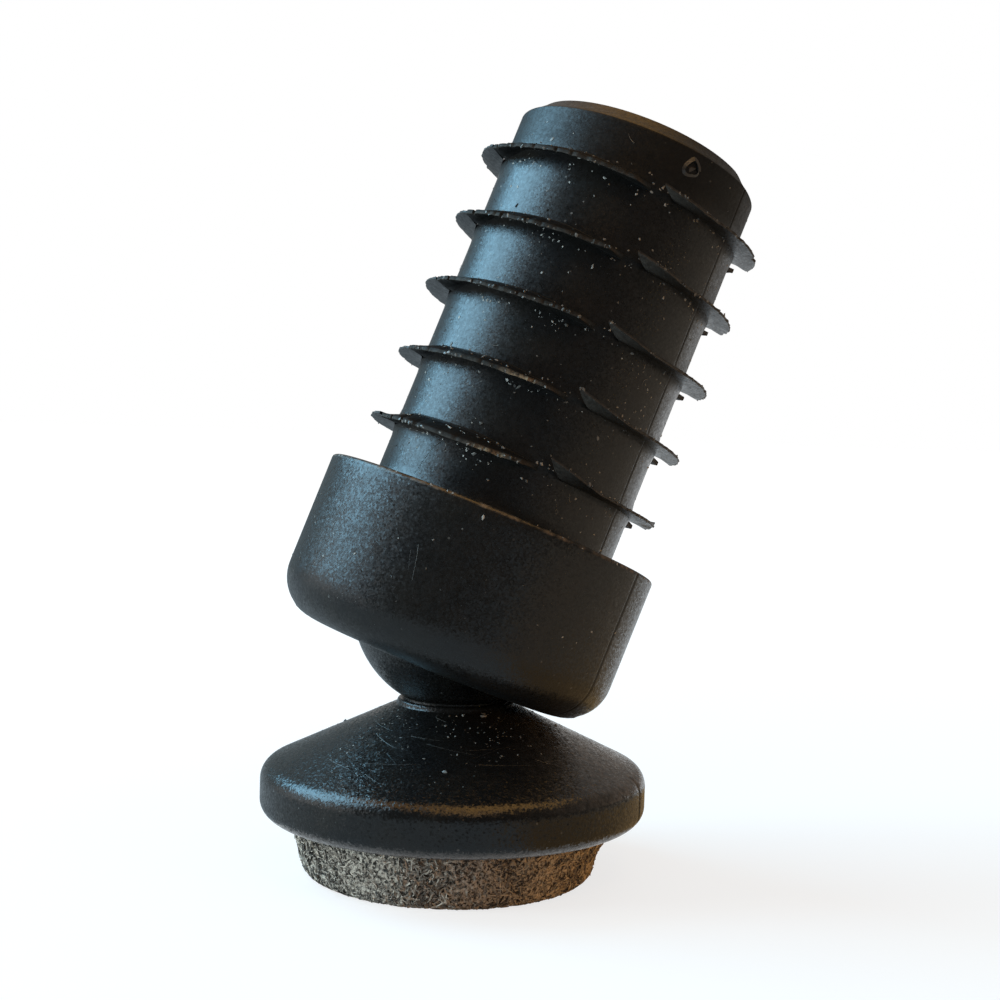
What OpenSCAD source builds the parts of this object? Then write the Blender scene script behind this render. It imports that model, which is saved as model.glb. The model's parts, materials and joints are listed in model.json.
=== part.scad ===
// Tilting glide for the end of a round tube: a finned plug with a collar, a ball-footed base and a felt pad.
// The origin is the middle of the felt's underside, with +Z up along the base's own axis.

/* [Tube insert] */
// Diameter of the collar at its shoulder, flush with the outside of the tube
collar_d = 25.1; // [24:0.1:28]
// Height of the collar
collar_h = 11.45; // [9:0.05:14]
// Radius that the collar loses towards its underside, so that it leaves the mould
collar_draft = 0.05; // [0:0.05:0.5]
// Radius of the round at the collar's lower edge
collar_round = 3.2; // [2:0.1:4]
// Radius of the round at the collar's shoulder
shoulder_round = 0.3; // [0.1:0.05:0.6]
// Diameter of the plug between its fins
plug_d = 18.4; // [17:0.1:20]
// Length of the plug from the shoulder to its tip
plug_l = 29.15; // [27:0.05:40]
// Chamfer at the plug's tip
tip_chamfer = 1.1; // [0.4:0.1:1.8]
// Wall of the hollow plug
plug_wall = 2; // [1.5:0.1:3]
// Turn of the insert about its own axis, from the way it leans to its mould seam
insert_turn = -45; // [-180:1:180]

/* [Fins] */
// Number of finned rings
fin_count = 5; // [2:1:5]
// Diameter over the fins
fin_d = 21.8; // [20.5:0.1:23]
// Shoulder to the middle of the first ring
fin_first = 3.7; // [2:0.1:5]
// Distance from one ring to the next
fin_pitch = 5.15; // [3:0.05:5.5]
// Thickness of a fin at its root
fin_root_t = 0.45; // [0.4:0.05:1]
// Thickness of a fin at its edge
fin_edge_t = 0.3; // [0.2:0.05:0.4]
// Width of the slots that split each ring
slot_w = 1.45; // [0.6:0.05:2]
// Distance of the slots from the middle of the plug
slot_offset = 6.8; // [5:0.1:7.2]
// Turn of the slots from the plane across the mould's seam
slot_turn = -5; // [-15:1:15]

/* [Ball joint] */
// Diameter of the ball
ball_d = 15.2; // [14.4:0.1:16]
// Radial clearance between the ball and its socket
ball_clearance = 0.08; // [0.02:0.01:0.1]
// Depth of the ball's centre above the collar's underside
socket_depth = 4.7; // [4.3:0.05:5]
// Lead-in chamfer at the socket's mouth
mouth_chamfer = 0.4; // [0.2:0.05:0.7]
// Thickness of the wall above the socket
socket_roof = 2; // [1.5:0.1:4]
// Gap between the collar's edge and the cone where the tilt stops
stop_gap = 0.54; // [0.4:0.01:0.8]

/* [Glide base] */
// Diameter of the base's rim
base_d = 27.8; // [26:0.1:32]
// Height of the rim's side up to the foot of the cone
rim_h = 3.35; // [3:0.05:5]
// Radius of the round at the rim's upper edge
rim_round = 1.35; // [0.5:0.05:1.6]
// Radius of the round at the rim's lower edge
rim_low_round = 1.1; // [0.3:0.05:1.3]
// Rise of the cone from the rim to the neck
cone_h = 4.85; // [4.5:0.05:6]
// Diameter of the neck under the ball
neck_d = 7.4; // [6.6:0.1:7.8]
// Straight length of the neck between the cone and the ball
neck_h = 0.2; // [0.1:0.05:0.6]

/* [Felt pad] */
// Diameter of the felt
felt_d = 22.5; // [18:0.1:23]
// Thickness of the felt
felt_t = 5.25; // [4:0.05:8]
// Depth of the felt's recess in the base
felt_recess = 1; // [0.5:0.1:2]
// Radius that wear has taken off the felt's side towards the floor
felt_taper = 0.9; // [0:0.05:1.5]
// Radius of the round that wear has put on the felt's lower edge
felt_round = 0.9; // [0.2:0.05:1.5]
// Radial room for the felt in its recess
felt_room = 0.1; // [0.05:0.05:0.3]

/* [Pose] */
// Heading of the lean, from +X towards +Y
lean_heading = 18; // [0:0.5:360]
// How far the insert leans, as a share of the lean at which it stops
lean_share = 1; // [-1:0.05:1]

/* [Hidden] */
$fn = 96;
// How far a cut runs past the solid that it cuts
overrun = 1;

collar_r = collar_d / 2;
collar_low_r = collar_r - collar_draft;
plug_r = plug_d / 2;
core_r = plug_r - plug_wall;
fin_r = fin_d / 2;
ball_r = ball_d / 2;
socket_r = ball_r + ball_clearance;
base_r = base_d / 2;
neck_r = neck_d / 2;
felt_r = felt_d / 2;

// Heights in the insert's own frame, from the ball's centre along the insert's axis
collar_low = -socket_depth;
shoulder = collar_low + collar_h;
tip = shoulder + plug_l;
core_floor = socket_r + socket_roof;
// The mouth's chamfer runs from the collar's underside up to the socket's sphere
mouth_top = collar_low + mouth_chamfer;
mouth_r = sqrt(socket_r * socket_r - mouth_top * mouth_top);

// Heights in the base's frame, from the floor
rim_low = felt_t - felt_recess;
cone_foot = rim_low + rim_h;
neck_low = cone_foot + cone_h;
neck_top = neck_low + neck_h;
ball_z = neck_top + sqrt(ball_r * ball_r - neck_r * neck_r);
cone_angle = atan2(cone_h, base_r - neck_r);

// The round of the rim touches its side and its cone
rim_round_r = base_r - rim_round;
rim_round_z = cone_foot + rim_round * tan(cone_angle) - rim_round / cos(cone_angle);

// The felt's worn side runs from the rim to where it touches the round of the lower edge
felt_edge_r = felt_r - felt_taper - felt_round;
side_run = felt_r - felt_edge_r;
side_rise = rim_low - felt_round;
side_reach = sqrt(side_run * side_run + side_rise * side_rise);
touch_angle = atan2(side_rise, side_run) - acos(felt_round / side_reach);

// The lean at which the collar's rounded edge is stop_gap away from the cone
edge_r = collar_low_r - collar_round;
edge_h = collar_low + collar_round;
edge_reach = sqrt(edge_r * edge_r + edge_h * edge_h);
edge_angle = atan2(-edge_h, edge_r);
edge_drop = collar_round + stop_gap + neck_r * sin(cone_angle) - (ball_z - neck_low) * cos(cone_angle);
stop_lean = cone_angle - edge_angle - asin(edge_drop / edge_reach);
lean = stop_lean * lean_share;

// Carries the insert from its own frame to where it leans on the ball
module on_ball() {
    translate([0, 0, ball_z])
        rotate([0, 0, lean_heading])
            rotate([0, lean, 0])
                rotate([0, 0, insert_turn])
                    children();
}

// Half section of the collar: a drafted side, a large round below and a small one at the shoulder
module collar_section() {
    shoulder_r = collar_r - shoulder_round;
    polygon([
        [0, edge_h],
        [collar_low_r, edge_h],
        [collar_r, shoulder - shoulder_round],
        [0, shoulder - shoulder_round]
    ]);
    translate([0, collar_low])
        square([edge_r, collar_round]);
    translate([edge_r, edge_h])
        circle(r = collar_round);
    translate([0, shoulder - shoulder_round])
        square([shoulder_r, shoulder_round]);
    translate([shoulder_r, shoulder - shoulder_round])
        circle(r = shoulder_round);
}

// Half section of the plug, with its chamfered tip
module plug_section() {
    polygon([
        [0, edge_h],
        [plug_r, edge_h],
        [plug_r, tip - tip_chamfer],
        [plug_r - tip_chamfer, tip],
        [0, tip]
    ]);
}

// One ring of fins: a disc that thins to its edge, split by two straight slots
module fin_ring() {
    difference() {
        rotate_extrude()
            polygon([
                [plug_r - plug_wall / 2, -fin_root_t / 2],
                [plug_r, -fin_root_t / 2],
                [fin_r, -fin_edge_t / 2],
                [fin_r, fin_edge_t / 2],
                [plug_r, fin_root_t / 2],
                [plug_r - plug_wall / 2, fin_root_t / 2]
            ]);
        rotate([0, 0, slot_turn])
            for (side = [-1, 1])
                translate([side * slot_offset, 0, 0])
                    cube([slot_w, fin_d + overrun, fin_root_t + overrun], center = true);
    }
}

// Socket for the ball, with its lead-in, and the core that opens at the plug's tip
module insert_hollows() {
    sphere(r = socket_r);
    translate([0, 0, collar_low - overrun])
        cylinder(
            h = mouth_chamfer + overrun,
            r1 = mouth_r + mouth_chamfer + overrun,
            r2 = mouth_r
        );
    translate([0, 0, core_floor])
        cylinder(h = tip - core_floor + overrun, r = core_r);
}

module tube_insert() {
    color([0.10, 0.10, 0.11])
        on_ball()
            difference() {
                union() {
                    rotate_extrude()
                        collar_section();
                    rotate_extrude()
                        plug_section();
                    for (ring = [0 : fin_count - 1])
                        translate([0, 0, shoulder + fin_first + ring * fin_pitch])
                            fin_ring();
                }
                insert_hollows();
            }
}

// Half section of the base below the ball: rim, cone and neck
module base_section() {
    polygon([
        [0, rim_low],
        [base_r - rim_low_round, rim_low],
        [base_r - rim_low_round, rim_low + rim_low_round],
        [base_r, rim_low + rim_low_round],
        [base_r, rim_round_z],
        [rim_round_r, rim_round_z],
        [rim_round_r + rim_round * sin(cone_angle), rim_round_z + rim_round * cos(cone_angle)],
        [neck_r, neck_low],
        [neck_r, neck_top],
        [0, neck_top]
    ]);
    translate([base_r - rim_low_round, rim_low + rim_low_round])
        circle(r = rim_low_round);
    translate([rim_round_r, rim_round_z])
        circle(r = rim_round);
}

module glide_base() {
    color([0.13, 0.13, 0.14])
        difference() {
            union() {
                rotate_extrude()
                    base_section();
                translate([0, 0, ball_z])
                    sphere(r = ball_r);
            }
            translate([0, 0, rim_low - overrun])
                cylinder(h = felt_recess + overrun, r = felt_r + felt_room);
        }
}

// A disc that wear has tapered below the base and rounded at its lower edge
module felt_pad() {
    color([0.42, 0.40, 0.37])
        rotate_extrude() {
            polygon([
                [0, 0],
                [felt_edge_r, 0],
                [felt_edge_r, felt_round],
                [felt_edge_r + felt_round * cos(touch_angle), felt_round + felt_round * sin(touch_angle)],
                [felt_r, rim_low],
                [felt_r, felt_t],
                [0, felt_t]
            ]);
            translate([felt_edge_r, felt_round])
                circle(r = felt_round);
        }
}

tube_insert();
glide_base();
felt_pad();
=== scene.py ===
import json
from collections import namedtuple
from math import acos, atan2, cos, degrees, hypot, inf, pi, radians, sin, sqrt, tan

import bmesh
import bpy
import numpy as np
from mathutils import Matrix, Vector


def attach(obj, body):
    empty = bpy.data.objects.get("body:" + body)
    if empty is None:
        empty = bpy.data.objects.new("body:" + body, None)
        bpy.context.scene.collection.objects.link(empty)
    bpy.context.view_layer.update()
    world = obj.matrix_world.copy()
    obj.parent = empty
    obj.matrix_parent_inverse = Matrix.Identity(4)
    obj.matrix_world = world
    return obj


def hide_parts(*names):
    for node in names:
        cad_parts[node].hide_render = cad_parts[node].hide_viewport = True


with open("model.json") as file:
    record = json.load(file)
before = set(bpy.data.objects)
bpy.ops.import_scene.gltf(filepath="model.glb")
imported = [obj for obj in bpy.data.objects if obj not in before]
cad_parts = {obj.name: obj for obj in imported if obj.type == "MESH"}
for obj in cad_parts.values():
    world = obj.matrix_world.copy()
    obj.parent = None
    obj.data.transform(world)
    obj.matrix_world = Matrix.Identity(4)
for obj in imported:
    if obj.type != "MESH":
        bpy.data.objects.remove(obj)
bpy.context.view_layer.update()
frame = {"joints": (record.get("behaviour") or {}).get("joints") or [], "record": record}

# Looks of a tilting tube glide: a finned plug with a collar, a ball-footed base and a felt pad.
# Lengths are written in millimetres, as in the part's source, and become metres in make_object.
MM = 0.001
SEED = 41
TURN = 2 * pi

# Sizes of the three pieces
COLLAR_R = 12.55
COLLAR_LOW_R = 12.5
COLLAR_H = 11.45
COLLAR_ROUND = 3.2
SHOULDER_ROUND = 0.3
PLUG_R = 9.2
PLUG_L = 29.15
TIP_CHAMFER = 1.1
CORE_R = 7.2
FIN_COUNT = 5
FIN_R = 10.9
FIN_FIRST = 3.7
FIN_PITCH = 5.15
FIN_ROOT_T = 0.45
FIN_EDGE_T = 0.3
SLOT_W = 1.45
SLOT_OFFSET = 6.8
SLOT_TURN = radians(-5)
INSERT_TURN = radians(-45)
BALL_R = 7.6
SOCKET_R = 7.68
SOCKET_DEPTH = 4.7
SOCKET_ROOF = 2.0
MOUTH_CHAMFER = 0.4
BASE_R = 13.9
RIM_LOW = 4.25
RIM_H = 3.35
RIM_ROUND = 1.35
RIM_LOW_ROUND = 1.1
CONE_H = 4.85
NECK_R = 3.7
NECK_H = 0.2
FELT_R = 11.25
FELT_T = 5.25
FELT_TAPER = 0.9
FELT_ROUND = 0.9
RECESS_R = 11.35

# Small rounds: at the plug's foot, at the tip's chamfer, in the core, and at edges that are only eased
PLUG_FILLET = 0.25
TIP_ROUND = 0.12
CORE_FILLET = 0.3
EASED = 0.1

# Heights along the insert's axis, from the ball's centre
COLLAR_LOW = -SOCKET_DEPTH
SHOULDER = COLLAR_LOW + COLLAR_H
TIP = SHOULDER + PLUG_L
CORE_FLOOR = SOCKET_R + SOCKET_ROOF

# Heights and slope of the base, from the floor
CONE_FOOT = RIM_LOW + RIM_H
NECK_LOW = CONE_FOOT + CONE_H
CONE_ANGLE = atan2(CONE_H, BASE_R - NECK_R)


# Frames of the two bodies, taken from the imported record
def mount_axis(name):
    found = [m for m in frame["record"]["mounts"] if m["name"] == name]
    return Vector(found[0]["axis"]).normalized()


ball_centre = Vector(frame["joints"][0]["pos_m"])
plug_axis = mount_axis("finned_plug")
lean = acos(plug_axis.z)
heading = atan2(plug_axis.y, plug_axis.x)
insert_frame = (
    Matrix.Translation(ball_centre)
    @ Matrix.Rotation(heading, 4, "Z")
    @ Matrix.Rotation(lean, 4, "Y")
    @ Matrix.Rotation(INSERT_TURN, 4, "Z")
    @ Matrix.Scale(MM, 4)
)
base_frame = Matrix.Scale(MM, 4)
ball_z = ball_centre.z / MM

# Smooth shading stops at edges sharper than this
SHARP_EDGE = radians(33)
UP = np.array([0, 0, 1.0])
# The value of an attribute at a revolve's two poles
AT_POLES = np.zeros(2)


# Mesh helpers
class Parts:
    """Meshes in millimetres, gathered into one, with a value of each named attribute at every point."""

    def __init__(self, *names):
        self.points = []
        self.faces = []
        self.values = {name: [] for name in names}
        self.count = 0

    def add(self, points, faces, **values):
        self.points.append(np.asarray(points, float))
        self.faces += [tuple(i + self.count for i in f) for f in faces]
        self.count += len(points)
        for name, gathered in self.values.items():
            gathered.append(np.broadcast_to(values.get(name, 0.0), len(points)))


def new_object(name, data):
    obj = bpy.data.objects.new(name, data)
    bpy.context.scene.collection.objects.link(obj)
    return obj


def make_object(name, parts, place):
    """A mesh object from parts in millimetres, carried into the shared frame by place."""
    m = np.array(place)
    world = np.concatenate(parts.points) @ m[:3, :3].T + m[:3, 3]
    mesh = bpy.data.meshes.new(name)
    mesh.from_pydata(world.tolist(), [], parts.faces)
    for key, gathered in parts.values.items():
        layer = mesh.attributes.new(key, "FLOAT", "POINT")
        layer.data.foreach_set("value", np.concatenate(gathered).astype(np.float32))
    mesh.polygons.foreach_set("use_smooth", np.ones(len(mesh.polygons), bool))
    mesh.set_sharp_from_angle(angle=SHARP_EDGE)
    mesh.update()
    return new_object(name, mesh)


def arc(cx, cy, r, start, end, count):
    """Points of an arc in a half section, with angles in degrees from the outward direction."""
    a = np.radians(np.linspace(start, end, count))
    return [(cx + r * cos(t), cy + r * sin(t)) for t in a]


def line(a, b, count):
    """Points from a towards b, without b itself."""
    return [(a[0] + (b[0] - a[0]) * i / count, a[1] + (b[1] - a[1]) * i / count) for i in range(count)]


def ring_points(turn, r, h):
    """Points round a ring, from their angles, radii and heights."""
    return np.stack(np.broadcast_arrays(r * np.cos(turn), r * np.sin(turn), h), 1)


def ring_faces(rows, columns):
    """Quads between the rows of a closed revolve, and a fan of triangles at each of its poles."""
    faces = []
    for i in range(rows - 1):
        low, high = i * columns, (i + 1) * columns
        for j in range(columns):
            k = (j + 1) % columns
            faces.append((low + j, low + k, high + k, high + j))
    first_pole, last_pole = rows * columns, rows * columns + 1
    last = (rows - 1) * columns
    for j in range(columns):
        k = (j + 1) % columns
        faces.append((first_pole, k, j))
        faces.append((last_pole, last + j, last + k))
    return faces


def add_revolve(parts, rows, first_z, last_z, downwards=False, **values):
    """Adds a closed revolve from its rows of points and the heights of its poles."""
    faces = ring_faces(len(rows), len(rows[0]))
    if downwards:
        faces = [f[::-1] for f in faces]
    poles = np.array([[0, 0, first_z], [0, 0, last_z]])
    parts.add(np.concatenate(rows + [poles]), faces, **values)


def ripple(theta, rng, low, high, falloff=0.8):
    """A smooth periodic wobble round a ring, about 1 high, from waves of random phase."""
    waves = np.arange(low, high + 1)
    size = waves ** -falloff * rng.uniform(0.4, 1.0, len(waves))
    phase = rng.uniform(0, TURN, len(waves))
    total = (size[:, None] * np.sin(waves[:, None] * theta[None, :] + phase[:, None])).sum(0)
    return total / sqrt((size ** 2).sum() / 2)


def round_offset(angle, centre):
    """The way from centre to angle, round a circle, between minus and plus half a turn."""
    return np.mod(angle - centre + pi, TURN) - pi


def bell(offset, reach):
    """1 in the middle, and fading out with the offset from it."""
    return np.exp(-((offset / reach) ** 2))


def outward(angle):
    """The level direction away from the axis."""
    return np.array([cos(angle), sin(angle), 0.0])


def unit_grain():
    """Corners and faces of an icosahedron of radius 1."""
    shape = bmesh.new()
    bmesh.ops.create_icosphere(shape, subdivisions=1, radius=1.0)
    shape.verts.index_update()
    corners = np.array([v.co for v in shape.verts])
    faces = [tuple(v.index for v in f.verts) for f in shape.faces]
    shape.free()
    return corners, faces


# How uneven, stretched and flattened crumbs are
GRAIN_CORNERS, GRAIN_FACES = unit_grain()
GRAIN_UNEVEN = (0.55, 1.3)
GRAIN_STRETCH = 0.7
GRAIN_FLATTEN = 0.45
LARGEST_CRUMB = 0.11

# A kind of crumb: its number, least size, the gamma draw that adds to that, range of tones, and largest size
Crumbs = namedtuple("Crumbs", "count least shape scale tone largest", defaults=[LARGEST_CRUMB])


def add_grain(parts, rng, spot, out, size, **values):
    """A crumb of irregular shape, flattened against a surface."""
    p = GRAIN_CORNERS * rng.uniform(*GRAIN_UNEVEN, (len(GRAIN_CORNERS), 1))
    stretch = rng.normal(size=3)
    stretch /= np.linalg.norm(stretch)
    p = p + GRAIN_STRETCH * np.outer(p @ stretch, stretch)
    p = p - GRAIN_FLATTEN * np.outer(p @ out, out)
    parts.add(spot + size * p, GRAIN_FACES, **values)


def add_crumb(parts, rng, place, kind):
    """A crumb of dust at a place, which is a spot and the outward direction there."""
    wide = min(kind.least + rng.gamma(kind.shape, kind.scale), kind.largest)
    add_grain(parts, rng, *place, wide, dust=rng.uniform(*kind.tone))


THREAD_SIDES = 3
THREAD_TAPER = 0.55
TINY = 1e-9


def unit(v):
    return v / (np.linalg.norm(v) + TINY)


def add_thread(parts, spine, out, thick, **values):
    """A tapering thread along a spine of points."""
    steps = len(spine)
    points = []
    for k in range(steps):
        along = spine[min(k + 1, steps - 1)] - spine[max(k - 1, 0)]
        side = unit(np.cross(along, out))
        lift = unit(np.cross(side, along))
        taper = thick * (1 - THREAD_TAPER * k / (steps - 1))
        for s in range(THREAD_SIDES):
            t = TURN * s / THREAD_SIDES
            points.append(spine[k] + taper * (side * cos(t) + lift * sin(t)))
    faces = []
    for k in range(steps - 1):
        low, high = k * THREAD_SIDES, (k + 1) * THREAD_SIDES
        for s in range(THREAD_SIDES):
            n = (s + 1) % THREAD_SIDES
            faces.append((low + s, low + n, high + n, high + s))
    faces.append(tuple(range(THREAD_SIDES - 1, -1, -1)))
    faces.append(tuple(range((steps - 1) * THREAD_SIDES, steps * THREAD_SIDES)))
    parts.add(np.array(points), faces, **values)


# Tube insert: columns in two caps that have the mould's seam, two sides, and the slots between them
Columns = namedtuple("Columns", "angle segment share")
# Rows of its half section are (radius, height), or a fin's rows, under it (side -1) or on it (1)
FinRow = namedtuple("FinRow", "ring share side")
FIN_SHARES = (0, 0.12, 0.35, 0.65, 0.9, 0.98, 1.0)
INSERT_LOOKS = ("wear", "scuff", "grain", "matt")
# What is further out than this is the insert's outside
OUTSIDE_R = CORE_R + 0.3
RIGHT_CAP = 0
FRONT = 3
CAP_COLUMNS = 97
SIDE_COLUMNS = 81
SLOT_COLUMNS = 8
SEAM_CROWDING = 1.3
SLOT_WALL_SHARE = 0.12
# The way to the photograph's camera
FACING = radians(297)
# The mould's seam: its groove, and the flatter strip beside it
SEAM_GROOVE = 0.07
SEAM_WIDTH = radians(0.55)
SEAM_FLAT = 0.16
SEAM_FLAT_REACH = radians(9)

# Worn fins: rows of numbers go from the shoulder up, and shares are of a segment or of a fin's width.
# How far fins slope down from their roots, how much further in the middle of the front, and their droop
ROOT_RISE = 0.1
FRONT_RISE = 0.54
FRONT_FADE = (0.45, 0.8)
EDGE_DROOP = (0.14, 0.04, 0.0, 0.0, 0.0)
# How the right cap's fins curl towards the tip at their slot, and how worn they are there underneath
CURL_FROM = 0.5
CURL_POWER = 1.2
CURLS = (0.8, 0.7, 0.62, 0.48, 0.42)
CURL_WEAR = 0.9
CURL_WEAR_FROM = 0.3
# How far the edges stand out, and how far the rings are bent up at the back
EDGE_OUT = (0.12, 0.08, 0.12, -0.08, -0.10)
REAR_LIFT = (-0.1, 0.0, 0.2, 0.45, 0.5)
REAR_FROM = radians(78)
REAR_REACH = radians(42)
# How far the far end of each segment leans over its slot, as a share of the slot
SLOT_LEAN = np.array([-0.35, 0.0, 0.85, 0.0])
SLOT_LEAN_RUN = 0.2
SLOT_PINCH = 0.8
# How the caps differ from the sides
CAP_WEAR = 0.35
CAP_WEAR_AT = -0.3
CAP_WEAR_REACH = 0.45
CAP_THINNER = 0.4
CAP_MATT = 0.3
# The burr at the right tip of the first ring
BURR_SHARE = 0.74
BURR_WIDTH = 0.09
BURR_LIFT = 0.4
# How far the edges fray, wave and crumple, and nicks in them: how many, how deep and how wide
FRAY = 0.02
WAVE = 0.05
CRUMPLE = 0.003
THICK_UNEVEN = 0.06
SMALL_NICKS = (26, 0.2, radians(0.9))
WIDE_NICKS = (3, 0.15, radians(5))
# Ripples: the fewest and the most waves, and how fast they fall off
FRAY_WAVES = (40, 150, 0.2)
EDGE_WAVES = (3, 14)
BEND_WAVES = (2, 7)
CRUMPLE_WAVES = (30, 120, 0.2)
THICK_WAVES = (8, 40, 0.3)
RUB_WAVES = (10, 110, 0.35)
# A fin turns matt from its root, and its edge is thinner and worn, less so on top
MATT_SHARE = 0.3
LAST_ROW_SHARE = 0.75
WORN_FROM = 0.97
WORN_TOP = 0.35
# Where the lowest rings are scuffed pale, with a painted warm glint along their edges
SCUFF_GLINT_ANGLE = radians(292)
SCUFF_GLINT_REACH = radians(7)
SCUFF_GLINT_RINGS = 2
# The rubbed shoulder, whose scuffs also paint a warm glint, and the tip that handling has dulled
RUBBED = 0.35
RUB_UNEVEN = 0.5
RUB_WEAR = 0.6
RUB_SCUFF_AND_GLINT = 0.3
TIP_DULL = 0.5
TIP_DULL_RUN = 1.5


def fin_height(ring):
    return SHOULDER + FIN_FIRST + ring * FIN_PITCH


def segment_ends(r):
    """Half angles of the cap and side segments of a ring at radius r, where the slots' walls stay flat."""
    cap_end = np.arccos((SLOT_OFFSET + SLOT_W / 2) / r)
    side_end = np.arcsin((SLOT_OFFSET - SLOT_W / 2) / r)
    return cap_end, side_end


def slot_columns(start, end):
    """Angles of the columns in a slot, the outer ones close to its walls."""
    gap = np.linspace(start, end, SLOT_COLUMNS + 2)[1:-1]
    gap[0] = start + SLOT_WALL_SHARE * (gap[0] - start)
    gap[-1] = end - SLOT_WALL_SHARE * (end - gap[-1])
    return gap


def insert_columns():
    """Each column's angle at the plug's surface, its fin segment, -1 in a slot, and its share of that."""
    cap_end, side_end = segment_ends(PLUG_R)
    angle, segment, share = [], [], []
    for quarter in range(4):
        cap = quarter % 2 == 0
        half, next_half = (cap_end, side_end) if cap else (side_end, cap_end)
        middle = quarter * pi / 2 + SLOT_TURN
        u = np.linspace(-1, 1, CAP_COLUMNS if cap else SIDE_COLUMNS)
        if cap:
            u = np.sign(u) * np.abs(u) ** SEAM_CROWDING
        gap = slot_columns(middle + half, middle + pi / 2 - next_half)
        angle += [*(middle + half * u), *gap]
        segment += [quarter] * len(u) + [-1] * len(gap)
        share += [*u] + [0.0] * len(gap)
    return Columns(np.array(angle), np.array(segment), np.array(share))


def fin_angle(columns, r):
    angle, segment, share = columns
    cap_end, side_end = segment_ends(r)
    half = np.where(segment % 2 == 0, cap_end, side_end)
    slot = pi / 2 - cap_end - side_end
    lean_over = SLOT_LEAN[segment] * slot * np.clip((r - PLUG_R) / SLOT_LEAN_RUN, 0, 1)
    half = half + np.where(share > 0, lean_over, 0.0)
    return np.where(segment < 0, angle, segment * pi / 2 + SLOT_TURN + half * share)


def curl_share(share):
    """How far along its curl a column of the right cap is, up to 1 at the slot."""
    return np.clip((-share - CURL_FROM) / (1 - CURL_FROM), 0, 1)


def front_rise(share):
    """How much further the front segment's fins slope, fading out towards both slots."""
    fade = np.clip((1 + share) / FRONT_FADE[0], 0, 1) * np.clip((1 - share) / FRONT_FADE[1], 0, 1)
    return FRONT_RISE * fade ** 2 * (3 - 2 * fade)


def seam_relief(angle):
    """The groove at the mould's parting line, and the flatter strip beside it on each half."""
    turn = round_offset(2 * angle, 2 * SLOT_TURN) / 2
    groove = SEAM_GROOVE * bell(turn, SEAM_WIDTH)
    past = np.clip(np.mod(angle - SLOT_TURN, pi), 0, pi / 2)
    flat = SEAM_FLAT * (1 - np.exp(-past / SEAM_FLAT_REACH)) * np.cos(past) ** 2
    return -groove - flat


def nicks(angle, rng, count, depth, width):
    """Bites out of a fin's edge: how deep each column is bitten."""
    bite = np.zeros_like(angle)
    for _ in range(count):
        off = round_offset(angle, rng.uniform(0, TURN))
        wide = width * rng.uniform(0.4, 1.6)
        bite = np.maximum(bite, depth * rng.uniform(0.3, 1.0) * bell(off, wide))
    return bite


def collar_rows():
    """Half section of the socket and the collar, up to the plug's foot."""
    mouth_top = COLLAR_LOW + MOUTH_CHAMFER
    mouth_r = sqrt(SOCKET_R ** 2 - mouth_top ** 2)
    mouth_angle = degrees(atan2(mouth_top, mouth_r))
    low_r, low_h = COLLAR_LOW_R - COLLAR_ROUND, COLLAR_LOW + COLLAR_ROUND
    edge_r, edge_h = COLLAR_R - SHOULDER_ROUND, SHOULDER - SHOULDER_ROUND
    foot_r = PLUG_R + PLUG_FILLET
    rows = arc(0, 0, SOCKET_R, 88, mouth_angle, 14)
    rows += line((mouth_r + MOUTH_CHAMFER, COLLAR_LOW), (low_r, COLLAR_LOW), 3)
    rows += arc(low_r, low_h, COLLAR_ROUND, -90, 0, 14)
    rows += line((COLLAR_LOW_R, low_h), (COLLAR_R, edge_h), 12)[1:]
    rows += arc(edge_r, edge_h, SHOULDER_ROUND, 0, 90, 6)
    rows += line((edge_r, SHOULDER), (foot_r, SHOULDER), 4)[1:]
    return rows + arc(foot_r, SHOULDER + PLUG_FILLET, PLUG_FILLET, -90, -180, 4)


def plug_rows():
    """Half section of the plug with its fins, up to the chamfer of its tip."""
    rows = []
    start = SHOULDER + PLUG_FILLET
    for ring in range(FIN_COUNT):
        middle = fin_height(ring)
        rows += line((PLUG_R, start), (PLUG_R, middle - FIN_ROOT_T / 2), 5)[1:]
        rows += [FinRow(ring, s, -1) for s in FIN_SHARES]
        rows += [FinRow(ring, s, 1) for s in reversed(FIN_SHARES)]
        start = middle + FIN_ROOT_T / 2
    return rows + line((PLUG_R, start), (PLUG_R, TIP - TIP_CHAMFER), 14)[1:]


def tip_rows():
    """Half section of the tip's chamfer, and of the hollow core down to its floor."""
    chamfer_r, chamfer_h = PLUG_R - TIP_CHAMFER, TIP - TIP_CHAMFER
    floor_r = CORE_R - 0.8
    rows = arc(PLUG_R - TIP_ROUND, chamfer_h, TIP_ROUND, 0, 45, 3)
    rows += line((PLUG_R - EASED, chamfer_h + EASED), (chamfer_r, TIP - EASED), 4)[1:]
    rows += [(chamfer_r - EASED / 2, TIP), (CORE_R + EASED, TIP), (CORE_R, TIP - EASED)]
    rows += line((CORE_R, TIP - 2 * CORE_FILLET), (CORE_R, CORE_FLOOR + CORE_FILLET), 4)
    rows += [(CORE_R - EASED / 2, CORE_FLOOR + EASED), (CORE_R - CORE_FILLET, CORE_FLOOR)]
    return rows + line((floor_r, CORE_FLOOR), (0, CORE_FLOOR), 5)


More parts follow.
